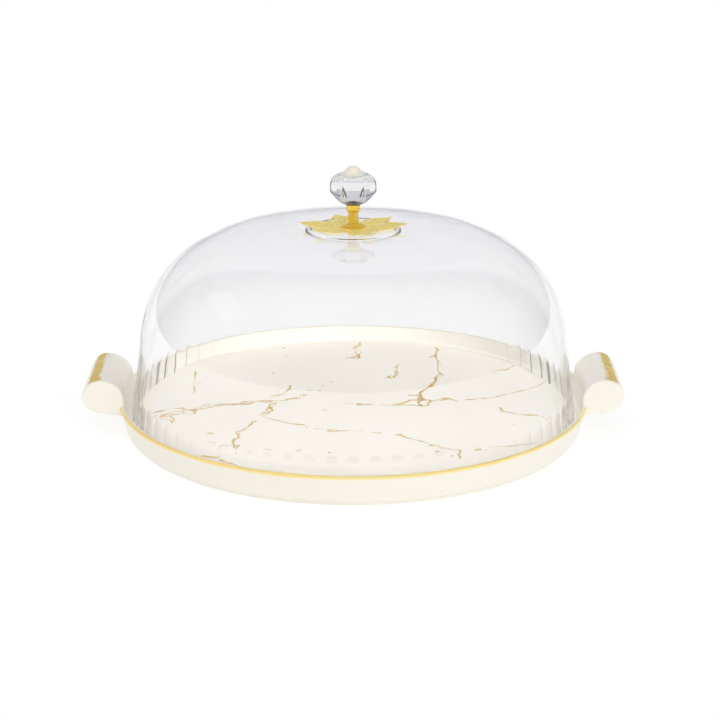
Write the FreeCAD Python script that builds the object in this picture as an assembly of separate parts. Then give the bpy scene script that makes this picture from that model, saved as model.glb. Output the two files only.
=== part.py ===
"""Cake stand with a lift-off clear dome.

A shallow glossy tray with a scroll grip at each side carries a clear dome with a fluted skirt.
The dome has a stamped filigree rosette and a crystal knob, held by one screw from inside.

Units are millimetres. The origin is the centre of the tray's foot, on the table.
+Z is up, the grips lie along X, and the front is towards -Y.
"""

import math
import os

import FreeCAD
import Part

# Tray
RIM_R = 165.0            # outer radius at the rim
RIM_TOP = 22.4           # rim height above the table
RIM_IN_R = 161.9         # inner radius just under the rim
WALL_FOOT_R = 160.7      # outer radius at the bottom of the side wall
FLOOR_TOP = 11.5         # height of the plate surface
FLOOR_T = 3.0            # plate thickness
FLOOR_IN_R = 157.9       # where the plate begins to curve up into the wall
FOOT_R = 157.4           # outer radius of the foot ring
FOOT_T = 3.0             # foot ring thickness

# Scroll grips, one at each end of X
ROLL_X = 176.0           # centre of the roll
ROLL_Z = 29.5
ROLL_R = 12.0
GRIP_HALF = 32.0         # half of the length along Y
GRIP_T = 3.0             # wall thickness
GRIP_EDGE = 1.6          # rounding of the end faces' edges

# Dome
DOME_T = 2.5             # wall thickness
DOME_GAP = 0.1           # rest height above the plate
WALL_TOP_R = 148.3       # outer radius where the straight wall meets the shoulder
WALL_TOP_Z = 69.9
DRAFT = math.radians(7.3)
SHOULDER_R = 77.8        # shoulder arc radius
SHOULDER_END = math.radians(79.5)
CROWN_R = 35.6           # where the crown's flat middle begins
PAD_R = 33.7             # raised pad under the rosette
PAD_SLOPE = 3.8          # width of the pad's S-shaped edge
PAD_STEP = 1.4           # pad height above the crown
FLUTES = 68
FLUTE_W = 13.9           # width of one flute
FLUTE_OUT = 1.1          # how far a flute stands out of the wall
FLUTE_EDGE = 0.9         # rounding of a flute's outline
FLUTE_TOP = 32.5         # top of the arches
SCREW_HOLE_R = 2.3

# Rosette: three pairs of leaves, each pair opposite
ROSETTE_T = 0.5
ROSETTE_HUB_R = 11.0
ROSETTE_RISE = 3.4       # how far the tips curl up
ROSETTE_TIP_R = 38.0
LEAVES = [(-3.0, 37.5, 10.5), (35.0, 33.0, 9.5), (114.0, 31.0, 11.0)]   # angle, tip radius, half width

# Knob
STEM_FOOT_R = 8.3
NECK_R = 3.5
COLLAR_R = 5.0
NECK_Z0 = 146.0          # top of the flared foot
NECK_Z1 = 153.1          # top of the neck
COLLAR_Z0 = 154.9
CRYSTAL_Z0 = 159.4       # crystal's lower face
CRYSTAL_FLAT = 0.88      # depth of the six side facets, as a share of the radius
BUD_Z0 = 180.0
BUD_Z1 = 186.0

# Fastening
SCREW_R = 2.0            # M4 screw
SCREW_HEAD_R = 4.0
SCREW_HEAD_T = 2.6
SCREW_TIP_Z = 164.2
INSERT_R = 3.4
INSERT_Z1 = 165.0
INSERT_BORE_R = 2.05
WASHER_R = 6.0
WASHER_T = 1.0
SOFT_WASHER_R = 6.8
SOFT_WASHER_T = 1.0
BORE_R = 2.2             # clearance bore through rosette, stem and collar

V = FreeCAD.Vector
UP = V(0, 0, 1)
ORIGIN = V(0, 0, 0)


def outline(start, *moves):
    """Closed wire in the XZ plane. A move is an end point, or a middle and an end point for an arc."""
    edges = []
    here = V(start[0], 0, start[1])
    for move in moves:
        if isinstance(move[0], tuple):
            middle = V(move[0][0], 0, move[0][1])
            end = V(move[1][0], 0, move[1][1])
            edges.append(Part.Arc(here, middle, end).toShape())
        else:
            end = V(move[0], 0, move[1])
            edges.append(Part.makeLine(here, end))
        here = end
    first = V(start[0], 0, start[1])
    if (here - first).Length > 1e-6:
        edges.append(Part.makeLine(here, first))
    return Part.Wire(edges)


def turned(start, *moves):
    """Solid of revolution about Z from a profile of radius and height."""
    return Part.Face(outline(start, *moves)).revolve(ORIGIN, UP, 360)


def along_y(half, start, *moves):
    """Prism of a profile in X and Z, from -half to half along Y."""
    face = Part.Face(outline(start, *moves))
    face.translate(V(0, -half, 0))
    return face.extrude(V(0, 2 * half, 0))


def ring(outer, inner, low, high):
    """Plain washer or tube."""
    return turned((inner, low), (outer, low), (outer, high), (inner, high))


def spline_region(points, far):
    """Solid of revolution of the space inside a curve of radius and height, up to the height far."""
    curve = Part.BSplineCurve()
    curve.interpolate([V(r, 0, z) for r, z in points])
    low = V(0, 0, points[0][1])
    start = V(points[0][0], 0, points[0][1])
    end = V(points[-1][0], 0, points[-1][1])
    top_out = V(points[-1][0], 0, far)
    top_in = V(0, 0, far)
    edges = [Part.makeLine(low, start), curve.toShape(), Part.makeLine(end, top_out)]
    edges += [Part.makeLine(top_out, top_in), Part.makeLine(top_in, low)]
    return Part.Face(Part.Wire(edges)).revolve(ORIGIN, UP, 360)


def save(name, shape):
    """Write one node, as a single clean solid."""
    solid = shape.removeSplitter()
    if solid.ShapeType != "Solid":
        solid = max(solid.Solids, key=lambda s: s.Volume)
    solid.exportStep(os.path.join("parts", name + ".step"))


def tray_profile(filled):
    """Tray as a turned solid. The filled form has no hollow under the plate and no dish above it."""
    outer = [
        (FOOT_R, 0),
        (FOOT_R, 2.4),
        (159.0, 2.6),
        ((WALL_FOOT_R - 0.45, 3.2), (WALL_FOOT_R, 4.8)),
        (RIM_R, RIM_TOP - 1.2),
        ((RIM_R - 0.4, RIM_TOP - 0.3), (RIM_R - 1.3, RIM_TOP)),
    ]
    if filled:
        return turned((0, 0), *outer, (0, RIM_TOP))
    inner = [
        (RIM_IN_R + 0.7, RIM_TOP),
        ((RIM_IN_R + 0.2, RIM_TOP - 0.2), (RIM_IN_R, RIM_TOP - 0.7)),
        (FLOOR_IN_R + 2.2, FLOOR_TOP + 2.2),
        ((FLOOR_IN_R + 1.5, FLOOR_TOP + 0.6), (FLOOR_IN_R, FLOOR_TOP)),
        (0, FLOOR_TOP),
        (0, FLOOR_TOP - FLOOR_T),
        (FOOT_R - FOOT_T, FLOOR_TOP - FLOOR_T),
    ]
    return turned((FOOT_R - FOOT_T, 0), *outer, *inner)


def grip():
    """Scroll grip for the +X side: a hollow roll, closed at both ends and open below."""
    body = along_y(
        GRIP_HALF,
        (150.0, 13.0),
        (ROLL_X - 1.5, ROLL_Z - ROLL_R + 0.1),
        ((ROLL_X + ROLL_R, ROLL_Z), (ROLL_X, ROLL_Z + ROLL_R)),
        (150.0, ROLL_Z + ROLL_R),
    )
    sweep = [
        (RIM_IN_R, 12.0),
        (RIM_IN_R, 25.0),
        (RIM_IN_R + 0.5, 30.0),
        (RIM_IN_R + 2.7, 34.5),
        (RIM_IN_R + 6.7, 38.4),
        (RIM_IN_R + 11.6, 40.9),
        (RIM_IN_R + 17.0, 41.8),
    ]
    body = body.cut(spline_region(sweep, 60.0))
    end_edges = []
    for edge in body.Edges:
        box = edge.BoundBox
        on_end = abs(abs(box.YMin) - GRIP_HALF) < 0.01 and box.YLength < 0.01
        if on_end and box.ZMax > RIM_TOP - 6.0 and box.XMax > ROLL_X - 20:
            end_edges.append(edge)
    body = body.makeFillet(GRIP_EDGE, end_edges)
    hollow = along_y(
        GRIP_HALF - GRIP_T,
        (150.0, 5.0),
        (ROLL_X + 6.6, 5.0),
        (ROLL_X + 6.6, ROLL_Z - 6.1),
        ((ROLL_X + 8.95, ROLL_Z + 0.9), (ROLL_X, ROLL_Z + ROLL_R - GRIP_T)),
        (150.0, ROLL_Z + ROLL_R - GRIP_T),
    )
    inner_sweep = [(r + GRIP_T + 0.6, z - (0.0 if z < 31 else 1.4)) for r, z in sweep]
    hollow = hollow.cut(spline_region([(inner_sweep[0][0], 0.0)] + inner_sweep[1:], 60.0))
    return body.cut(hollow).cut(tray_profile(filled=True))


def dome_profile(inset, low):
    """Closed half section of the dome's space, inset from the outer face, and the height of its top."""
    top_r = WALL_TOP_R - inset * math.cos(DRAFT)
    top_z = WALL_TOP_Z - inset * math.sin(DRAFT)
    centre_r = WALL_TOP_R - SHOULDER_R * math.cos(DRAFT)
    centre_z = WALL_TOP_Z - SHOULDER_R * math.sin(DRAFT)
    radius = SHOULDER_R - inset

    def on_shoulder(angle):
        return (centre_r + radius * math.cos(angle), centre_z + radius * math.sin(angle))

    slope = math.pi / 2 - SHOULDER_END
    run = centre_r + SHOULDER_R * math.cos(SHOULDER_END) - CROWN_R
    crown_r = run / math.sin(slope)
    crown_z = centre_z + SHOULDER_R * math.sin(SHOULDER_END) - crown_r * math.cos(slope)
    crown_r -= inset

    def on_crown(angle):
        return (CROWN_R + crown_r * math.sin(angle), crown_z + crown_r * math.cos(angle))

    low_r = top_r + math.tan(DRAFT) * (top_z - low)
    flat_z = crown_z + crown_r
    moves = [
        (low_r, low),
        (top_r, top_z),
        (on_shoulder((DRAFT + SHOULDER_END) / 2), on_shoulder(SHOULDER_END)),
        (on_crown(slope / 2), on_crown(0)),
    ]
    bend = (PAD_SLOPE ** 2 + PAD_STEP ** 2) / (4 * PAD_STEP)
    turn = math.asin(PAD_SLOPE / 2 / bend)
    hollow = bend + inset
    hump = bend - inset
    pad_z = flat_z + PAD_STEP
    middle = (PAD_R - hollow * math.sin(turn), flat_z + hollow * (1 - math.cos(turn)))
    foot = (PAD_R - hollow * math.sin(turn / 2), flat_z + hollow * (1 - math.cos(turn / 2)))
    brow = (PAD_R - PAD_SLOPE + hump * math.sin(turn / 2), pad_z - hump * (1 - math.cos(turn / 2)))
    moves += [(PAD_R, flat_z), (foot, middle), (brow, (PAD_R - PAD_SLOPE, pad_z)), (0, pad_z)]
    return (0, low), moves, pad_z


def flute():
    """One flute: a flat tile with an arched top and a rounded outline, leaning with the wall."""
    low = FLOOR_TOP + DOME_GAP
    half = FLUTE_W / 2
    centre_z = FLUTE_TOP - half
    wall_r = WALL_TOP_R + math.tan(DRAFT) * (WALL_TOP_Z - centre_z)
    tile = Part.makeBox(6.0, FLUTE_W, 30.0, V(0, -half, -30.0))
    tile = tile.fuse(Part.makeCylinder(half, 6.0, ORIGIN, V(1, 0, 0))).removeSplitter()
    outer = [edge for edge in tile.Edges if edge.BoundBox.XMin > 5.99 and edge.BoundBox.ZMax > -29.0]
    tile = tile.makeFillet(FLUTE_EDGE, outer)
    tile.rotate(ORIGIN, V(0, 1, 0), -math.degrees(DRAFT))
    tile.translate(V(wall_r + FLUTE_OUT - 6.0 / math.cos(DRAFT), 0, centre_z))
    above = Part.makeBox(60.0, 40.0, 40.0, V(wall_r - 30.0, -20.0, low))
    return tile.common(above)


def dome():
    """Clear dome: turned shell with a flat pad, a ring of flutes round the skirt and a screw hole."""
    low = FLOOR_TOP + DOME_GAP
    start, moves, _ = dome_profile(0.0, low)
    outer = turned(start, *moves)
    start, moves, inner_top = dome_profile(DOME_T, 0.0)
    inner = turned(start, *moves)
    shell = outer.cut(inner)
    one = flute().cut(inner)
    flutes = []
    for index in range(FLUTES):
        piece = one.copy()
        piece.rotate(ORIGIN, UP, index * 360.0 / FLUTES)
        flutes.append(piece)
    shell = shell.multiFuse(flutes)
    hole = Part.makeCylinder(SCREW_HOLE_R, 20.0, V(0, 0, inner_top - 5.0), UP)
    return shell.cut(hole)


def dome_levels():
    """Heights of the pad's top and of the dome's inner top."""
    return dome_profile(0.0, FLOOR_TOP)[2], dome_profile(DOME_T, 0.0)[2]


def leaf(angle, tip, half_width, pointed=True, root=3.0):
    """Pointed leaf outline as a tall prism, from the hub out to its tip."""
    swell = root + (tip - root) * 0.55
    lower = Part.BSplineCurve()
    upper = Part.BSplineCurve()
    shape = [(root, 0.45), (swell - 6.0, 0.92), (swell, 1.0), (tip - 7.0, 0.62), (tip - 2.2, 0.16), (tip, 0.0)]
    lower.interpolate([V(r, -half_width * w, 0) for r, w in shape])
    upper.interpolate([V(r, half_width * w, 0) for r, w in shape])
    root_low = V(root, -half_width * 0.45, 0)
    root_high = V(root, half_width * 0.45, 0)
    wire = Part.Wire([lower.toShape(), upper.toShape(), Part.makeLine(root_high, root_low)])
    prism = Part.Face(wire).extrude(V(0, 0, 20.0))
    prism.rotate(ORIGIN, UP, angle)
    return prism


def slit(angle, r0, r1, bow, width):
    """Curved slot between two radii, bowed sideways, as a tall prism."""
    middle = (r0 + r1) / 2
    near = Part.Arc(V(r0, bow * 0.3, 0), V(middle, bow - width / 2, 0), V(r1, bow * 0.3, 0))
    farther = Part.Arc(V(r1, bow * 0.3, 0), V(middle, bow + width / 2, 0), V(r0, bow * 0.3, 0))
    prism = Part.Face(Part.Wire([near.toShape(), farther.toShape()])).extrude(V(0, 0, 20.0))
    prism.rotate(ORIGIN, UP, angle)
    return prism


def rosette(base):
    """Stamped filigree washer: six pierced leaves that curl up from a flat hub."""
    rise = ROSETTE_RISE
    lean = ROSETTE_T * 0.1
    sheet = turned(
        (BORE_R, base),
        (ROSETTE_HUB_R, base),
        ((ROSETTE_HUB_R + 15.0, base + rise * 0.32), (ROSETTE_TIP_R + 2.0, base + rise)),
        (ROSETTE_TIP_R + 2.0 - lean, base + rise + ROSETTE_T),
        ((ROSETTE_HUB_R + 15.0, base + rise * 0.32 + ROSETTE_T), (ROSETTE_HUB_R, base + ROSETTE_T)),
        (BORE_R, base + ROSETTE_T),
    )
    plan = Part.makeCylinder(ROSETTE_HUB_R, 20.0, ORIGIN, UP)
    leaves = []
    pierced = []
    for angle, tip, half_width in LEAVES:
        for turn in (0.0, 180.0):
            leaves.append(leaf(angle + turn, tip, half_width))
            reach = tip - 5.0
            bow = min(half_width * 0.62, (reach - 12.0) * 0.45)
            for side in (-1.0, 1.0):
                pierced.append(slit(angle + turn, 12.0, reach, side * bow, 2.0))
                pierced.append(slit(angle + turn, 12.8, reach - 3.5, side * bow * 0.42, 1.3))
    plan = plan.multiFuse(leaves)
    for cutter in pierced:
        plan = plan.cut(cutter)
    plan.translate(V(0, 0, base - 5.0))
    return sheet.common(plan)


def knob_stem(base):
    """Flared foot in three steps, slim neck and a small bead ring."""
    return turned(
        (BORE_R, base),
        (STEM_FOOT_R, base),
        ((STEM_FOOT_R + 0.15, base + 0.6), (STEM_FOOT_R - 0.5, base + 1.1)),
        (7.2, base + 1.35),
        ((7.1, base + 2.0), (6.4, base + 2.3)),
        (5.6, base + 2.5),
        ((4.2, base + 3.1), (NECK_R, NECK_Z0)),
        (NECK_R, NECK_Z1),
        ((NECK_R + 0.75, (NECK_Z1 + COLLAR_Z0) / 2), (NECK_R, COLLAR_Z0 - 0.1)),
        (NECK_R, COLLAR_Z0),
        (BORE_R, COLLAR_Z0),
    )


def knob_ferrule():
    """Collar under the crystal, with a waist between two bands."""
    middle = (COLLAR_Z0 + CRYSTAL_Z0) / 2
    return turned(
        (BORE_R, COLLAR_Z0),
        (COLLAR_R - 0.4, COLLAR_Z0),
        (COLLAR_R, COLLAR_Z0 + 0.4),
        (COLLAR_R, middle - 0.7),
        (COLLAR_R - 0.5, middle - 0.4),
        (COLLAR_R - 0.5, middle + 0.4),
        (COLLAR_R, middle + 0.7),
        (COLLAR_R + 0.5, CRYSTAL_Z0 - 0.3),
        (COLLAR_R + 0.5, CRYSTAL_Z0),
        (BORE_R, CRYSTAL_Z0),
    )


def crystal_side(share):
    """The crystal's outline from its lower face to its top, at a share of its full radius."""
    return [
        (0, CRYSTAL_Z0),
        (7.8 * share, CRYSTAL_Z0),
        ((12.9 * share, 163.2), (15.6 * share, 166.8)),
        ((16.2 * share, 170.4), (15.3 * share, 175.4)),
        ((13.7 * share, 178.2), (11.2 * share, BUD_Z0)),
        (0, BUD_Z0),
    ]


def knob_crystal():
    """Six-sided crystal with ridges between its facets, a cut lower edge and a bore for the insert."""
    body = turned(*crystal_side(1.0))
    half = outline(*crystal_side(CRYSTAL_FLAT))
    slab = Part.Face(half).extrude(V(0, 40.0, 0))
    slab.translate(V(0, -20.0, 0))
    slab = slab.fuse(slab.mirror(ORIGIN, V(1, 0, 0))).removeSplitter()
    for turn in (30.0, 90.0, 150.0):
        facet = slab.copy()
        facet.rotate(ORIGIN, UP, turn)
        body = body.common(facet)
    low = hexagon(7.6, CRYSTAL_Z0)
    high = hexagon(15.4 + 16.0, CRYSTAL_Z0 + 8.0 + 16.0 * 8.0 / 7.8)
    cup = Part.makeLoft([low, high], True)
    bore = Part.makeCylinder(INSERT_R, INSERT_Z1 - CRYSTAL_Z0, V(0, 0, CRYSTAL_Z0), UP)
    return body.common(cup).cut(bore)


def hexagon(flat, height):
    """Level hexagon with a flat side towards +X, flat millimetres from the axis."""
    corner = flat / math.cos(math.pi / 6)
    angles = [math.radians(30 + 60 * index) for index in range(7)]
    return Part.makePolygon([V(corner * math.cos(a), corner * math.sin(a), height) for a in angles])


def knob_bud():
    """Small domed bud on top of the crystal."""
    tip_r = 3.6
    tip_h = 1.1
    cap_r = (tip_r ** 2 + tip_h ** 2) / (2 * tip_h)
    half = math.asin(tip_r / cap_r) / 2
    cap_middle = (cap_r * math.sin(half), BUD_Z1 - cap_r * (1 - math.cos(half)))
    return turned(
        (0, BUD_Z0),
        (9.2, BUD_Z0),
        ((7.9, BUD_Z0 + 0.9), (6.4, BUD_Z0 + 2.1)),
        ((4.7, BUD_Z0 + 3.5), (tip_r, BUD_Z1 - tip_h)),
        (cap_middle, (0, BUD_Z1)),
    )


def knob_screw(head_top):
    """M4 pan head screw with a cross recess, pointing up."""
    body = turned(
        (0, head_top - SCREW_HEAD_T),
        (2.4, head_top - SCREW_HEAD_T),
        ((3.55, head_top - SCREW_HEAD_T * 0.72), (SCREW_HEAD_R, head_top - 0.5)),
        (SCREW_HEAD_R, head_top),
        (SCREW_R, head_top),
        (SCREW_R, SCREW_TIP_Z - 0.8),
        (SCREW_R - 0.7, SCREW_TIP_Z),
        (0, SCREW_TIP_Z),
    )
    recess_z = head_top - SCREW_HEAD_T - 0.1
    bar = Part.makeBox(3.6, 0.8, 1.4, V(-1.8, -0.4, recess_z))
    cross = Part.makeBox(0.8, 3.6, 1.4, V(-0.4, -1.8, recess_z))
    return body.cut(bar).cut(cross)


os.makedirs("parts", exist_ok=True)

pad_top, inner_top = dome_levels()
stem_base = pad_top + ROSETTE_T
soft_low = inner_top - SOFT_WASHER_T
washer_low = soft_low - WASHER_T

right_grip = grip()
left_grip = right_grip.mirror(ORIGIN, V(1, 0, 0))

save("tray", tray_profile(filled=False))
save("handle_right", right_grip)
save("handle_left", left_grip)
save("dome_shell", dome())
save("rosette", rosette(pad_top))
save("knob_stem", knob_stem(stem_base))
save("knob_ferrule", knob_ferrule())
save("knob_crystal", knob_crystal())
save("knob_bud", knob_bud())
save("knob_insert", ring(INSERT_R, INSERT_BORE_R, CRYSTAL_Z0, INSERT_Z1))
save("knob_screw", knob_screw(washer_low))
save("screw_washer", ring(WASHER_R, BORE_R, washer_low, soft_low))
save("soft_washer", ring(SOFT_WASHER_R, BORE_R, soft_low, inner_top))
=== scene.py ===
import math
import random

import bpy
import numpy as np
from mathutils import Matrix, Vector


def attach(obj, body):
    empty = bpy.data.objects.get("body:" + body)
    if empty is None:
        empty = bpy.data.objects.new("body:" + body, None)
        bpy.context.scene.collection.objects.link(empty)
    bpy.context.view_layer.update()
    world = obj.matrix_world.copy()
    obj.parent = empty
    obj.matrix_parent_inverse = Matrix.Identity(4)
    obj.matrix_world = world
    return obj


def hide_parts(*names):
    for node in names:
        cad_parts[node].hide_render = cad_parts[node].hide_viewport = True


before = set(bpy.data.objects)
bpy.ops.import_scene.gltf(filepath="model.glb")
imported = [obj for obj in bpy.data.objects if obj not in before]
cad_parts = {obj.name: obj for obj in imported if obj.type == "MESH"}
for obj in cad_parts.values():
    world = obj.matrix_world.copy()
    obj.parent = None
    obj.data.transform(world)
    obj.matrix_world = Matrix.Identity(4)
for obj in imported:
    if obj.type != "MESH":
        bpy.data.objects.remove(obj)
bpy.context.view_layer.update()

MM = 0.001

# ---------------------------------------------------------------- tray sizes, in mm
FLOOR_TOP = 11.5         # height of the plate surface
FLOOR_T = 3.0            # plate thickness
FLOOR_IN_R = 157.9       # where the plate begins to curve up into the wall
FOOT_R = 157.4           # outer radius of the foot ring
FOOT_T = 3.0             # foot ring thickness
FOOT_H = 2.4
UNDER_R, UNDER_Z = 159.0, 2.6           # where the wall's rounded foot begins
WALL_FOOT_R, WALL_FOOT_Z = 160.7, 4.8   # bottom of the straight side wall
RIM_R = 165.0            # outer radius at the rim
RIM_TOP = 22.4
RIM_IN_R = 161.9         # inner radius just under the rim
RIM_ROUND = 1.2          # height of the rounding on the rim's outer corner
PLATE_MIDDLE_R = 10.0    # inside this radius the plate is one flat face

# Scroll grips: centre and radius of the roll, half length, and the line of the upper face up to its crest
ROLL_X, ROLL_Z, ROLL_R, GRIP_HALF = 176.0, 29.5, 12.0, 32.0
GRIP_LINE = [(161.9, 25.0), (162.4, 30.0), (164.6, 34.5), (168.6, 38.4), (173.5, 40.9), (178.9, 41.8)]

# ---------------------------------------------------------------- dome sizes, in mm
DOME_T = 2.5             # wall thickness
DOME_LOW = 11.6          # height of the lower edge
LIP = 0.5                # rounding of the lower edge
WALL_TOP_R, WALL_TOP_Z = 148.3, 69.9    # where the straight wall meets the shoulder
DRAFT = math.radians(7.3)
SHOULDER_R = 77.8        # shoulder arc radius
SHOULDER_END = math.radians(79.5)
CROWN_R = 35.6           # where the crown's flat middle begins
PAD_R = 33.7             # raised pad under the rosette
PAD_SLOPE = 3.8          # width of the pad's S-shaped edge
PAD_STEP = 1.4           # pad height above the crown
PAD_INSET = 2.8          # how far the step on the inner face lies inside the outer one
PAD_RINGS = (12.0, 24.0)                # mesh rings on the pad's flat top
HOLE_R = 2.3
FLUTES = 68
FLUTE_OUT = 0.6          # how far a flute stands out of the wall
FLUTE_IN = 0.75          # how much of each flute shows on the inner face
FLUTE_TOP = 32.5         # top of the arches
FLUTE_ARCH = 7.2         # height of a flute's round top
FLUTE_STEPS = 8          # mesh columns across a flute
FLUTE_BLEND = 2.5        # height over which the mesh rows go from arched to level

# ---------------------------------------------------------------- foil on the plate, in mm
FOIL_CELL = 0.5          # grid that the foil's outline is traced on
FOIL_HALF = 156.0        # half of the grid's width
FOIL_R = 152.5           # no foil outside this radius
FOIL_LIFT = 0.04         # height of the foil above the plate
EMPTY = -9.0             # level of a place with no foil near it


# ---------------------------------------------------------------- node helpers
class Nodes:
    """The node tree of a material or a world, with short calls for adding nodes."""

    def __init__(self, owner, output):
        owner.use_nodes = True
        self.owner = owner
        self.tree = owner.node_tree
        self.tree.nodes.clear()
        self.output = self.tree.nodes.new(output)

    def add(self, kind, **values):
        """New node. Each value goes to the node's property or input of that name, and a socket is linked."""
        node = self.tree.nodes.new(kind)
        for key, value in values.items():
            if hasattr(node, key):
                setattr(node, key, value)
            elif isinstance(value, bpy.types.NodeSocket):
                self.tree.links.new(value, node.inputs[key.replace("_", " ")])
            else:
                node.inputs[key.replace("_", " ")].default_value = value
        return node

    def coords(self, stretch=(1, 1, 1)):
        place = self.add("ShaderNodeTexCoord").outputs["Object"]
        return self.add("ShaderNodeMapping", Vector=place, Scale=stretch).outputs["Vector"]

    def noise(self, where, scale, detail=4.0, roughness=0.5):
        node = self.add("ShaderNodeTexNoise", Vector=where, Scale=scale, Detail=detail, Roughness=roughness)
        return node.outputs["Fac"]

    def ramp(self, value, *stops):
        """Colours that blend along a value, each stop a place and a colour."""
        node = self.add("ShaderNodeValToRGB", Fac=value)
        elements = node.color_ramp.elements
        while len(elements) < len(stops):
            elements.new(0.5)
        for element, (place, colour) in zip(elements, stops):
            element.position = place
            element.color = (*colour, 1.0)
        return node.outputs["Color"]

    def spread(self, value, low, high, start=0.3, end=0.7):
        """The value's stretch from start to end spread over low to high."""
        node = self.add(
            "ShaderNodeMapRange", Value=value, From_Min=start, From_Max=end, To_Min=low, To_Max=high)
        return node.outputs["Result"]

    def bump(self, height, distance):
        return self.add("ShaderNodeBump", Height=height, Distance=distance, Strength=0.5).outputs["Normal"]

    def principled(self, **values):
        return self.add("ShaderNodeBsdfPrincipled", **values).outputs["BSDF"]

    def mix(self, share, first, second):
        node = self.add("ShaderNodeMixShader")
        for socket, value in zip(node.inputs, (share, first, second)):
            self.tree.links.new(value, socket)
        return node.outputs["Shader"]

    def finish(self, surface):
        self.tree.links.new(surface, self.output.inputs["Surface"])
        return self.owner


def material_nodes(name):
    return Nodes(bpy.data.materials.new(name), "ShaderNodeOutputMaterial")


# ---------------------------------------------------------------- materials
def cream_material(name):
    """Glazed cream moulding with faint warm and cool clouds and a clear coat."""
    n = material_nodes(name)
    where = n.coords()
    colour = n.ramp(n.noise(where, 9.0, detail=1.0), (0.25, (0.885, 0.84, 0.73)), (0.75, (0.92, 0.88, 0.785)))
    roughness = n.spread(n.noise(where, 40.0, detail=1.0), 0.30, 0.36)
    return n.finish(n.principled(
        Base_Color=colour, Roughness=roughness, Coat_Weight=0.2, Coat_Roughness=0.08, IOR=1.45))


def gold_material(name, light, dark, roughness, scale, bump=0.00008, stretch=(1, 1, 1), metallic=1.0):
    """Metal with tarnished and bright patches and a fine brushed or cast grain."""
    n = material_nodes(name)
    where = n.coords(stretch)
    patch = n.noise(where, scale, detail=5.0, roughness=0.6)
    wear = n.noise(where, scale * 3.0, detail=3.0)
    grain = n.noise(where, scale * 5.0, detail=2.0)
    return n.finish(n.principled(
        Base_Color=n.ramp(patch, (0.3, dark), (0.7, light)),
        Roughness=n.spread(wear, roughness * 0.7, roughness * 1.5),
        Normal=n.bump(grain, bump),
        Metallic=metallic))


def clear_material(name, tint, lamp_tint, ior, wave):
    """Clear acrylic: refracts what is behind it, with faint moulding waves, and lets lamp light through."""
    n = material_nodes(name)
    where = n.coords()
    clear = n.principled(
        Base_Color=(*tint, 1.0),
        Roughness=n.spread(n.noise(where, 300.0, detail=3.0), 0.002, 0.0064),
        Normal=n.bump(n.noise(where, 22.0, detail=2.0), wave),
        Transmission_Weight=1.0,
        IOR=ior)
    through = n.add("ShaderNodeBsdfTransparent", Color=(*lamp_tint, 1.0)).outputs["BSDF"]
    shadow_ray = n.add("ShaderNodeLightPath").outputs["Is Shadow Ray"]
    return n.finish(n.mix(shadow_ray, clear, through))


def pearl_material(name):
    """Milky moulding: light spreads inside it and the surface is smooth."""
    n = material_nodes(name)
    where = n.coords()
    colour = n.ramp(n.noise(where, 160.0), (0.3, (0.91, 0.82, 0.68)), (0.7, (0.94, 0.86, 0.74)))
    return n.finish(n.principled(
        Base_Color=colour,
        Roughness=n.spread(n.noise(where, 500.0), 0.3, 0.4),
        Subsurface_Weight=0.6,
        Subsurface_Scale=0.004,
        IOR=1.49,
        Coat_Weight=0.3,
        Coat_Roughness=0.05))


def rubber_material(name):
    """Pale rubber with a fine grain."""
    n = material_nodes(name)
    where = n.coords()
    colour = n.ramp(n.noise(where, 200.0), (0.3, (0.738, 0.738, 0.72)), (0.7, (0.82, 0.82, 0.8)))
    return n.finish(n.principled(Base_Color=colour, Roughness=n.spread(n.noise(where, 400.0), 0.48, 0.72)))


# ---------------------------------------------------------------- mesh helpers
def piece(name, points, faces, body, material, crease=None):
    """New object from points in mm and faces. It rides on a body and takes a material slot's finish."""
    mesh = bpy.data.meshes.new(name)
    vertices = [tuple(float(c) * MM for c in p) for p in points]
    mesh.from_pydata(vertices, [], [tuple(int(i) for i in f) for f in faces])
    mesh.update()
    mesh.polygons.foreach_set("use_smooth", [True] * len(mesh.polygons))
    if crease:
        mesh.set_sharp_from_angle(angle=math.radians(crease))
    obj = bpy.data.objects.new(name, mesh)
    bpy.context.scene.collection.objects.link(obj)
    obj.data.materials.append(material)
    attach(obj, body)
    return obj


def paint(node, material):
    """Give a CAD node a new material in every slot."""
    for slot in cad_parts[node].material_slots:
        slot.material = material


def arc(centre, radius, start, end, count):
    """Points of an arc from angle start to angle end."""
    angles = np.linspace(start, end, count)
    return [(centre[0] + radius * math.cos(a), centre[1] + radius * math.sin(a)) for a in angles]


def arc_through(start, middle, end, count=8):
    """Points of the arc from start through middle to end, without its start."""
    (ax, ay), (bx, by), (cx, cy) = start, middle, end
    d = 2 * (ax * (by - cy) + bx * (cy - ay) + cx * (ay - by))
    a2, b2, c2 = ax * ax + ay * ay, bx * bx + by * by, cx * cx + cy * cy
    ux = (a2 * (by - cy) + b2 * (cy - ay) + c2 * (ay - by)) / d
    uy = (a2 * (cx - bx) + b2 * (ax - cx) + c2 * (bx - ax)) / d
    first = math.atan2(ay - uy, ax - ux)
    sweep = (math.atan2(cy - uy, cx - ux) - first + math.pi) % (2 * math.pi) - math.pi
    return arc((ux, uy), math.hypot(ax - ux, ay - uy), first, first + sweep, count + 1)[1:]


def line(start, end, count):
    """Points of the straight line from start to end, without its start."""
    (ax, ay), (bx, by) = start, end
    return [(ax + (bx - ax) * k / count, ay + (by - ay) * k / count) for k in range(1, count + 1)]


def ring(row, count):
    """Indices of the points of one row that runs round an object, closed on its first point."""
    return [row * count + k % count for k in range(count + 1)]


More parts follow.
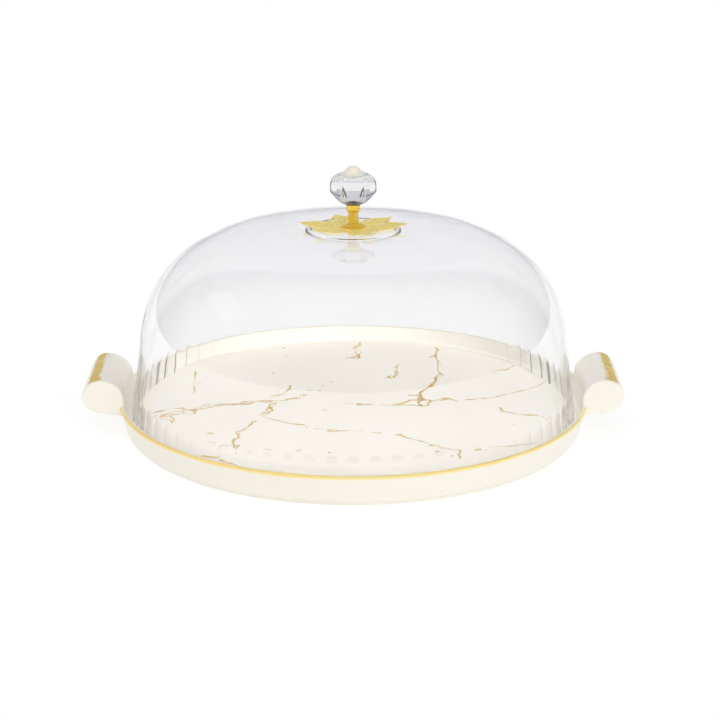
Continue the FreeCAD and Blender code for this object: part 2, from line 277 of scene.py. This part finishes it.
# ---------------------------------------------------------------- dome
def dome_curve(inset):
    """Top of the straight wall, then the outline from it to the pad's flat top, as radius and height."""
    top = (WALL_TOP_R - inset * math.cos(DRAFT), WALL_TOP_Z - inset * math.sin(DRAFT))
    centre = (WALL_TOP_R - SHOULDER_R * math.cos(DRAFT), WALL_TOP_Z - SHOULDER_R * math.sin(DRAFT))
    slope = math.pi / 2 - SHOULDER_END
    run = centre[0] + SHOULDER_R * math.cos(SHOULDER_END) - CROWN_R
    crown_r = run / math.sin(slope)
    crown_z = centre[1] + SHOULDER_R * math.sin(SHOULDER_END) - crown_r * math.cos(slope)
    flat_z = crown_z + crown_r - inset
    shoulder = arc(centre, SHOULDER_R - inset, DRAFT, SHOULDER_END, 34)
    crown = arc((CROWN_R, crown_z), crown_r - inset, SHOULDER_END, math.pi / 2, 14)
    round_r = (PAD_SLOPE ** 2 + PAD_STEP ** 2) / (4 * PAD_STEP)
    turn = math.asin(PAD_SLOPE / 2 / round_r)
    down, up = -math.pi / 2, math.pi / 2
    edge_r = PAD_R - PAD_INSET * inset / DOME_T
    hollow = arc((edge_r, flat_z + round_r), round_r, down, down - turn, 8)
    hump = arc((edge_r - PAD_SLOPE, flat_z + PAD_STEP - round_r), round_r, up - turn, up, 8)
    return top, shoulder + crown[1:] + hollow + hump[1:]


def dome_rows(place):
    """Radius and height of each mesh row, from the hole over the outer face and back up the inner face.

    Place is where each point of a row lies across its flute, from -1 to 1.
    """
    (outer_r, outer_z), outer_curve = dome_curve(0.0)
    (inner_r, inner_z), inner_curve = dome_curve(DOME_T)
    pad_top, pad_under = outer_curve[-1][1], inner_curve[-1][1]
    arch_foot = FLUTE_TOP - FLUTE_ARCH
    arch_z = arch_foot + FLUTE_ARCH * np.sqrt(np.maximum(0.0, 1 - place ** 2))
    level_z = FLUTE_TOP + FLUTE_BLEND
    lip_z = DOME_LOW + LIP
    lip_cut = 0.3 * LIP

    def bulge(z):
        rise = np.maximum(0.0, z - arch_foot) / FLUTE_ARCH
        return FLUTE_OUT * (1 - np.minimum(1.0, place ** 2 + rise ** 2)) ** 1.3

    def outer(z):
        return outer_r + math.tan(DRAFT) * (outer_z - z) + bulge(z)

    def inner(z):
        return inner_r + math.tan(DRAFT) * (inner_z - z) + FLUTE_IN * bulge(z)

    outer_heights = [*np.linspace(outer_z, level_z, 8)[1:], (arch_z + level_z) / 2]
    outer_heights += [arch_z + (lip_z - arch_z) * share for share in np.linspace(0, 1, 9)]
    inner_heights = [lip_z + (arch_z - lip_z) * share for share in np.linspace(0, 1, 9)]
    inner_heights += [(arch_z + level_z) / 2, *np.linspace(level_z, inner_z, 8)]
    rows = [(HOLE_R, pad_under), (HOLE_R, pad_top)]
    rows += [(radius, pad_top) for radius in PAD_RINGS]
    rows += reversed(outer_curve)
    rows += [(outer(z), z) for z in outer_heights]
    rows += [(outer(DOME_LOW + lip_cut) - lip_cut, DOME_LOW + lip_cut), (outer(DOME_LOW) - LIP, DOME_LOW)]
    rows += [(inner(DOME_LOW) + LIP, DOME_LOW), (inner(DOME_LOW + lip_cut) + lip_cut, DOME_LOW + lip_cut)]
    rows += [(inner(z), z) for z in inner_heights]
    rows += inner_curve[1:]
    rows += [(radius, pad_under) for radius in reversed(PAD_RINGS)]
    return rows


def dome_shell():
    """The clear dome, with mesh rows that follow the arches of its flutes."""
    flute = 2 * math.pi / FLUTES
    across = np.sin(np.linspace(-math.pi / 2, math.pi / 2, FLUTE_STEPS + 1))[:-1]
    theta = np.concatenate([index * flute + across * flute / 2 for index in range(FLUTES)])
    rows = dome_rows(np.tile(across, FLUTES))
    count = len(theta)
    points, faces = [], []
    for row, (radius, height) in enumerate(rows):
        heights = np.broadcast_to(height, theta.shape)
        points.extend(zip(radius * np.cos(theta), radius * np.sin(theta), heights))
        here, below = ring(row, count), ring((row + 1) % len(rows), count)
        faces += [(here[k], below[k], below[k + 1], here[k + 1]) for k in range(count)]
    return points, faces


clear_acrylic = clear_material(
    "clear_acrylic", (0.97, 0.97, 0.975), (0.91, 0.91, 0.91), ior=1.49, wave=0.00025)
points, faces = dome_shell()
dome = piece("dome_clear_shell", points, faces, "dome", clear_acrylic, crease=11)
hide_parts("dome_shell")


# ---------------------------------------------------------------- tray and grips
def tray_profile():
    """Outline of the dish from the foot ring's inner corner, up the outside, over the rim and back below."""
    foot_in_r, under_z = FOOT_R - FOOT_T, FLOOR_TOP - FLOOR_T
    wall_foot = (WALL_FOOT_R, WALL_FOOT_Z)
    wall_top = (RIM_R, RIM_TOP - RIM_ROUND)
    cove = (FLOOR_IN_R + 2.2, FLOOR_TOP + 2.2)
    profile = [(foot_in_r, 0.0), (FOOT_R, 0.0), (FOOT_R, FOOT_H), (UNDER_R, UNDER_Z)]
    profile += arc_through(profile[-1], (WALL_FOOT_R - 0.45, 3.2), wall_foot)
    profile += line(wall_foot, wall_top, 4)
    profile += arc_through(wall_top, (RIM_R - 0.4, RIM_TOP - 0.3), (RIM_R - 1.3, RIM_TOP))
    profile += [(RIM_IN_R + 0.7, RIM_TOP)]
    profile += arc_through(profile[-1], (RIM_IN_R + 0.2, RIM_TOP - 0.2), (RIM_IN_R, RIM_TOP - 0.7))
    profile += [cove]
    profile += arc_through(cove, (FLOOR_IN_R + 1.5, FLOOR_TOP + 0.6), (FLOOR_IN_R, FLOOR_TOP))
    profile += [(radius, FLOOR_TOP) for radius in (130.0, 90.0, 50.0, PLATE_MIDDLE_R)]
    profile += [(radius, under_z) for radius in (PLATE_MIDDLE_R, 80.0, foot_in_r)]
    return profile


def tray_dish():
    """The dish, foot ring and plate as one smooth turned surface."""
    profile = tray_profile()
    count = 360
    middle = profile.index((PLATE_MIDDLE_R, FLOOR_TOP))
    faces = [ring(middle, count)[:-1], ring(middle + 1, count)[-2::-1]]
    points = []
    for row, (radius, height) in enumerate(profile):
        for k in range(count):
            angle = 2 * math.pi * k / count
            points.append((radius * math.cos(angle), radius * math.sin(angle), height))
        if row != middle:
            here, above = ring(row, count), ring((row + 1) % len(profile), count)
            faces += [(here[k], here[k + 1], above[k + 1], above[k]) for k in range(count)]
    return points, faces


cream = cream_material("cream_glaze")
for node in ("handle_left", "handle_right"):
    paint(node, cream)
points, faces = tray_dish()
dish = piece("tray_dish", points, faces, "tray", cream, crease=25)
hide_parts("tray")

# ---------------------------------------------------------------- gold foil on the plate
# Veins on the plate: (half width in mm, points). Wide ones are torn foil, narrow ones are hairlines.
VEINS = [
    (1.0, [(-144, -22), (-127, -17), (-118, -14), (-110, -6), (-103, -2), (-94, 4), (-83, 4), (-73, 7),
           (-65, 13), (-56, 12), (-48, 15), (-39, 20), (-36, 24)]),
    (0.7, [(-139, -11), (-129, -5), (-122, -3), (-115, -9), (-106, 3), (-96, 7), (-83, 6), (-74, 11)]),
    (0.8, [(-137, -19), (-127, -11), (-119, -8), (-113, -13), (-107, -3)]),
    (0.5, [(-136, -21), (-131, -24), (-125, -31), (-124, -24), (-128, -20)]),
    (0.9, [(-58, 21), (-51, 26), (-48, 34), (-45, 44)]),
    (1.9, [(-54, 6), (-58, 4), (-60, -8), (-63, -18)]),
    (0.55, [(-63, -20), (-55, -27), (-42, -35), (-36, -37), (-31, -42)]),
    (0.4, [(-27, -44), (-18, -46), (-14, -50), (-2, -50), (8, -49)]),
    (0.8, [(-68, -29), (-72, -39), (-76, -47), (-80, -66), (-81, -76), (-77, -84)]),
    (0.6, [(-81, -77), (-88, -82), (-89, -91), (-89, -100), (-97, -100), (-106, -99)]),
    (0.45, [(-89, -100), (-85, -109), (-75, -115)]),
    (1.0, [(-119, 80), (-118, 66), (-118, 56), (-112, 52)]),
    (0.4, [(-118, 56), (-116, 32)]),
    (0.9, [(-4, 111), (2, 112), (4, 118), (2, 141), (7, 153)]),
    (0.8, [(24, 62), (30, 64), (32, 71), (32, 85), (35, 95)]),
    (0.7, [(69, 148), (65, 139), (64, 121), (59, 111)]),
    (0.45, [(63, 116), (64, 104), (63, 85), (64, 68)]),
    (1.1, [(64, 68), (59, 52), (57, 44), (52, 37), (49, 29), (47, 24), (40, 23)]),
    (0.5, [(-8, 7), (4, 4), (11, 4), (22, 3), (31, 3)]),
    (1.3, [(28, 3), (36, 6), (40, 14), (48, 13), (56, 12)]),
    (1.2, [(46, 8), (49, 1), (53, 3), (56, 12), (51, 14), (46, 8)]),
    (0.8, [(31, 3), (46, 1), (52, 2)]),
    (1.6, [(47, 24), (48, 17), (52, 13)]),
    (0.9, [(56, 12), (61, 14), (70, 16), (74, 13)]),
    (0.45, [(80, 14), (89, 15), (96, 17), (105, 23), (120, 32), (137, 45), (144, 58)]),
    (0.7, [(105, 75), (113, 81), (119, 86), (124, 93)]),
    (0.6, [(104, -3), (104, -11), (112, -14), (121, -20), (129, -20), (135, -27), (140, -17)]),
    (0.45, [(12, -53), (19, -55)]),
    (0.6, [(27, -58), (32, -60), (40, -67), (49, -74), (59, -83), (69, -88), (71, -91), (70.5, -104)]),
    (0.35, [(91, -83), (107, -80), (115, -77), (124, -74)]),
]

# Torn patches of foil: (x, y, half width, half depth)
BLOBS = [
    (-116, -12, 5.0, 4.5), (-62, 11, 4.5, 2.6), (-59, -7, 2.6, 4.0), (-14, -50, 3.4, 2.8),
    (-79, -80, 2.6, 3.2), (2, 113, 3.6, 3.2), (28, 64, 3.4, 2.4), (61, 113, 3.6, 3.0),
    (64, 69, 2.0, 4.0), (47, 24, 2.4, 2.6), (50, 13, 4.5, 2.0), (4, 4, 2.6, 3.4),
    (32, 3, 3.6, 1.8), (94, 17, 2.4, 1.6), (122, 92, 2.4, 2.4), (124, -19, 4.2, 1.8),
    (54, -79, 3.2, 2.2), (31, -59, 3.0, 1.6), (-37, -38, 3.8, 1.4), (-75, -46, 1.8, 2.6),
    (-118, 72, 1.4, 5.0), (-54, 138, 1.2, 1.8), (-52, 116, 1.6, 1.0), (-46, 105, 1.0, 1.0),
    (-60, 73, 1.2, 1.4), (-16, 54, 1.6, 1.2), (-22, 44, 1.3, 1.0), (-25, 34, 1.2, 0.8),
    (-32, 34, 1.2, 0.8), (-97, -55, 2.2, 1.6), (-96, -74, 2.6, 1.6), (-78, -93, 2.2, 1.2),
    (-20, -8, 3.0, 1.0), (-37, -88, 1.4, 1.4), (-17, -91, 1.0, 1.4), (-57, -85, 2.8, 0.8),
    (56, -91, 1.6, 1.6), (83, -88, 1.9, 1.8), (69, 55, 1.0, 1.0), (111, -37, 0.9, 0.9),
    (66, 95, 0.9, 1.4), (64, 104, 1.0, 1.6), (67, -99, 0.8, 1.4), (-33, 24, 1.6, 0.9),
]


def ripple(x, y, fineness, seed):
    """Smooth noise in about the range -1 to 1, from sines with random directions."""
    draw = random.Random(seed)
    x, y = x * fineness, y * fineness
    total = np.zeros_like(x)
    for _ in range(6):
        angle = draw.uniform(0, 2 * math.pi)
        pitch = draw.uniform(0.7, 1.6)
        shift = draw.uniform(0, 2 * math.pi)
        total += np.sin((x * math.cos(angle) + y * math.sin(angle)) * pitch + shift)
    return total / 3.2


def foil_level():
    """Grid over the plate, and how far each of its places lies inside the foil, below zero outside it."""
    count = int(2 * FOIL_HALF / FOIL_CELL)
    axis = (np.arange(count + 1) - count / 2) * FOIL_CELL
    x, y = np.meshgrid(axis, axis, indexing="ij")
    warp_x = x + 1.1 * ripple(x, y, 0.35, 1) + 0.5 * ripple(x, y, 1.1, 2)
    warp_y = y + 1.1 * ripple(x, y, 0.35, 3) + 0.5 * ripple(x, y, 1.1, 4)
    swell = 1.0 + 0.75 * ripple(x, y, 0.28, 5)
    level = np.full(x.shape, EMPTY)
    reach = 6.0          # a stretch of vein is traced this far around it, in mm
    stretches = [(width, pair) for width, route in VEINS for pair in zip(route[:-1], route[1:])]
    for width, ((ax, ay), (bx, by)) in stretches:
        i0, j0 = [max(0, int((low + FOIL_HALF - reach) / FOIL_CELL)) for low in (min(ax, bx), min(ay, by))]
        i1, j1 = [int((high + FOIL_HALF + reach) / FOIL_CELL) + 1 for high in (max(ax, bx), max(ay, by))]
        near = (slice(i0, i1), slice(j0, j1))
        px, py = warp_x[near] - ax, warp_y[near] - ay
        dx, dy = bx - ax, by - ay
        along = np.clip((px * dx + py * dy) / (dx * dx + dy * dy), 0, 1)
        away = np.hypot(px - along * dx, py - along * dy)
        level[near] = np.maximum(level[near], width * swell[near] + 0.12 - away)
    for blob_x, blob_y, half_x, half_y in BLOBS:
        away = np.hypot((warp_x - blob_x) / half_x, (warp_y - blob_y) / half_y)
        level = np.maximum(level, (1.0 - away) * min(half_x, half_y))
    level += np.where(level > -1.0, 0.175 * ripple(x, y, 2.6, 6), 0.0)
    # Where the foil is wide its level folds back towards zero, which opens holes in it.
    fold = 0.65 + 0.35 * ripple(x, y, 0.35, 5)
    level = fold - np.abs(level - fold)
    return axis, np.where(np.hypot(x, y) < FOIL_R, level, EMPTY)


def contour_mesh(axis, level, z):
    """Filled polygons where the level is above zero, cut exactly along the zero line."""
    points, faces, index = [], [], {}

    def corner(place):
        if place not in index:
            index[place] = len(points)
            points.append((axis[place[0]], axis[place[1]], z))
        return index[place]

    def crossing(one, other):
        key = (min(one, other), max(one, other))
        if key not in index:
            (i, j), (k, l) = key
            share = level[i, j] / (level[i, j] - level[k, l])
            index[key] = len(points)
            points.append((axis[i] + (axis[k] - axis[i]) * share, axis[j] + (axis[l] - axis[j]) * share, z))
        return index[key]

    inside = level > 0
    busy = inside[:-1, :-1] | inside[1:, :-1] | inside[:-1, 1:] | inside[1:, 1:]
    for i, j in zip(*np.nonzero(busy)):
        cell = [(i, j), (i + 1, j), (i + 1, j + 1), (i, j + 1)]
        face = []
        for here, after in zip(cell, cell[1:] + cell[:1]):
            if inside[here]:
                face.append(corner(here))
            if inside[here] != inside[after]:
                face.append(crossing(here, after))
        if len(face) >= 3:
            faces.append(face)
    return points, faces


foil = gold_material("gold_foil", (0.76, 0.54, 0.19), (0.56, 0.36, 0.09), 0.4, scale=130.0, metallic=0.35)
axis, level = foil_level()
points, faces = contour_mesh(axis, level, FLOOR_TOP + FOIL_LIFT)
piece("plate_gold_foil", points, faces, "tray", foil)


# ---------------------------------------------------------------- gold line on the rim
def rim_line():
    """Ribbon over the rim's outer corner, in two runs that stop at the grips."""
    gap = math.asin((GRIP_HALF + 0.2) / RIM_R)
    out, lift = 0.1, 0.08        # how far the line stands off the rim, in mm
    section = [
        (RIM_R - 0.3, RIM_TOP - 2.4), (RIM_R, RIM_TOP - RIM_ROUND), (RIM_R - 0.12, RIM_TOP - 0.72),
        (RIM_R - 0.4, RIM_TOP - 0.3), (RIM_R - 0.8, RIM_TOP - 0.07), (RIM_R - 1.5, RIM_TOP),
    ]
    wide, count = len(section), 420
    draw = random.Random(7)
    points, faces = [], []
    for start in (gap, math.pi + gap):
        for k, angle in enumerate(np.linspace(start, start + math.pi - 2 * gap, count)):
            first = len(points)
            uneven = [draw.uniform(0.0, 0.06)] + [0.0] * (wide - 1)
            for (r, z), extra in zip(section, uneven):
                points.append(((r + out) * math.cos(angle), (r + out) * math.sin(angle), z + extra + lift))
            if k < count - 1:
                faces += [(a, a + wide, a + wide + 1, a + 1) for a in range(first, first + wide - 1)]
    return points, faces


rim_gold = gold_material(
    "rim_gold", (1.0, 0.84, 0.38), (1.0, 0.76, 0.27), 0.42, scale=20.0, bump=0.00001, metallic=0.2)
points, faces = rim_line()
piece("rim_gold_line", points, faces, "tray", rim_gold)


# ---------------------------------------------------------------- brushed gold bands on the grips
def grip_top(x, y):
    """Height of a grip's upper face near its crest."""
    radii, heights = zip(*GRIP_LINE)
    swept = float(np.interp(math.hypot(x, y), radii, heights)) + 0.12
    return min(ROLL_Z + ROLL_R, swept)


def brush_marks(places, seed):
    """How far the band's inner edge reaches at each place along a grip, in mm, with torn strokes."""
    draw = random.Random(seed)
    strokes = np.zeros(len(places))
    for _ in range(26):
        centre = draw.uniform(places[0], places[-1])
        width = draw.uniform(0.35, 1.3)
        length = draw.uniform(1.0, 4.2)
        strokes = np.maximum(strokes, length * np.clip(1.25 - np.abs(places - centre) / width, 0, 1))
    return strokes + [draw.uniform(0, 0.35) for _ in places]


def grip_band(side, seed):
    """Band of brushed gold over the crest of a grip, with torn brush marks on its inner edge."""
    half = GRIP_HALF - 0.5
    columns, across = 300, 10
    outer, inner = math.radians(52.0), math.radians(82.0)
    places = np.linspace(-half, half, columns)
    points, faces = [], []
    for y, mark in zip(places, brush_marks(places, seed)):
        end = inner + mark / ROLL_R * 0.9
        for step in range(across + 1):
            angle = outer + (end - outer) * step / across
            x = ROLL_X + (ROLL_R + 0.06) * math.cos(angle)
            z = ROLL_Z + (ROLL_R + 0.06) * math.sin(angle)
            if angle > math.pi / 2:
                z = grip_top(x, y) + 0.07
            points.append((side * x, y, z))
    for column in range(columns - 1):
        for step in range(across):
            a = column * (across + 1) + step
            quad = (a, a + 1, a + across + 2, a + across + 1)
            faces.append(quad if side > 0 else quad[::-1])
    return points, faces


band_gold = gold_material(
    "band_gold", (0.95, 0.73, 0.20), (0.76, 0.54, 0.10), 0.4,
    scale=90.0, stretch=(0.35, 2.2, 1), metallic=0.35)
for name, side, seed in (("grip_gold_left", -1, 12), ("grip_gold_right", 1, 11)):
    points, faces = grip_band(side, seed)
    piece(name, points, faces, "tray", band_gold)

# ---------------------------------------------------------------- knob
polished = gold_material(
    "polished_gold", (1.0, 0.76, 0.14), (0.96, 0.66, 0.08), 0.1, scale=300.0, bump=0.00002, metallic=0.65)
leaf_gold = gold_material(
    "leaf_gold", (1.0, 0.90, 0.34), (0.97, 0.70, 0.12), 0.42, scale=520.0, bump=0.0003, metallic=0.1)
steel = gold_material("steel", (0.75, 0.75, 0.76), (0.55, 0.55, 0.57), 0.16, scale=300.0, bump=0.00002)
crystal = clear_material("crystal", (0.90, 0.90, 0.905), (0.93, 0.93, 0.94), ior=1.52, wave=0.0)
for node in ("knob_stem", "knob_ferrule", "screw_washer"):
    paint(node, polished)
for node in ("knob_insert", "knob_screw"):
    paint(node, steel)
paint("rosette", leaf_gold)
paint("knob_crystal", crystal)
paint("knob_bud", pearl_material("pearl_bud"))
paint("soft_washer", rubber_material("soft_washer"))

# ---------------------------------------------------------------- floor
FLOOR_HALF = 8.0         # in metres
n = material_nodes("pale_floor")
pale = n.principled(
    Base_Color=(0.28, 0.28, 0.28, 1.0),
    Roughness=0.95,
    Emission_Color=(1.0, 1.0, 1.0, 1.0),
    Emission_Strength=0.775,
    Specular_IOR_Level=0.0)
mesh = bpy.data.meshes.new("floor")
corners = [(-FLOOR_HALF, -FLOOR_HALF, 0), (FLOOR_HALF, -FLOOR_HALF, 0)]
corners += [(FLOOR_HALF, FLOOR_HALF, 0), (-FLOOR_HALF, FLOOR_HALF, 0)]
mesh.from_pydata(corners, [], [(0, 1, 2, 3)])
floor = bpy.data.objects.new("floor", mesh)
floor.data.materials.append(n.finish(pale))
bpy.context.scene.collection.objects.link(floor)
floor.location.z = -0.0002

# ---------------------------------------------------------------- light
# The world's light changes from front to back: 0 is straight in front, 0.5 is sideways and overhead, and
# 1 is the pale screen behind the stand. The camera itself sees plain white.
world = bpy.data.worlds.new("studio")
bpy.context.scene.world = world
n = Nodes(world, "ShaderNodeOutputWorld")
direction = n.add("ShaderNodeTexCoord").outputs["Generated"]
depth = n.add("ShaderNodeSeparateXYZ", Vector=direction).outputs["Y"]
screen = n.ramp(
    n.spread(depth, 0.0, 1.0, start=-1.0, end=1.0),
    (0.16, (0.14, 0.14, 0.15)),
    (0.34, (0.58, 0.58, 0.58)),
    (0.42, (0.60, 0.60, 0.60)),
    (0.56, (0.56, 0.56, 0.56)),
    (0.76, (0.17, 0.17, 0.23)),
    (0.83, (0.15, 0.15, 0.24)),
    (0.865, (0.58, 0.58, 0.65)),
    (1.0, (0.70, 0.70, 0.75)))
studio = n.add("ShaderNodeBackground", Color=screen).outputs["Background"]
white = n.add("ShaderNodeBackground", Color=(1.0, 1.0, 1.0, 1.0)).outputs["Background"]
camera_ray = n.add("ShaderNodeLightPath").outputs["Is Camera Ray"]
n.finish(n.mix(camera_ray, studio, white))

DOME_MIDDLE = Vector((0.0, 0.0, 0.06))


def lamp(kind, name, place, energy, seen, **settings):
    """Lamp aimed at the dome; one that isn't seen lights the object without showing in its gloss."""
    light = bpy.data.lights.new(name, kind)
    light.energy = energy
    light.cycles.use_multiple_importance_sampling = seen
    for key, value in settings.items():
        setattr(light, key, value)
    obj = bpy.data.objects.new(name, light)
    obj.location = place
    obj.rotation_euler = (DOME_MIDDLE - Vector(place)).to_track_quat("-Z", "Y").to_euler()
    obj.visible_glossy = seen
    bpy.context.scene.collection.objects.link(obj)


lamp("SUN", "overhead", (-0.9, -0.30, 2.0), 0.76, seen=False, angle=math.radians(100))
lamp("SUN", "front_fill", (0.6, -1.8, 0.8), 1.5, seen=False, angle=math.radians(70))
lamp("AREA", "window", (-1.44, 0.34, 1.40), 0.35, seen=True, shape="RECTANGLE", size=0.9, size_y=0.4)

# ---------------------------------------------------------------- camera
CAMERA_FAR = 1.485                      # metres from the middle of the tray's underside
CAMERA_UP = math.radians(19.87)         # elevation of the camera
AIM_ABOVE = math.radians(1.6895)        # how far the camera aims above that middle
AIM_RIGHT = math.radians(0.1924)        # and to the right of it

camera_data = bpy.data.cameras.new("camera")
camera_data.sensor_width = 36.0
camera_data.lens = 104.3
camera_data.clip_end = 50.0
camera = bpy.data.objects.new("camera", camera_data)
camera.location = (0.0, -CAMERA_FAR * math.cos(CAMERA_UP), CAMERA_FAR * math.sin(CAMERA_UP))
camera.rotation_euler = (math.pi / 2 - CAMERA_UP + AIM_ABOVE, 0.0, -AIM_RIGHT)
bpy.context.scene.collection.objects.link(camera)
bpy.context.scene.camera = camera
bpy.context.scene.view_settings.view_transform = "Standard"
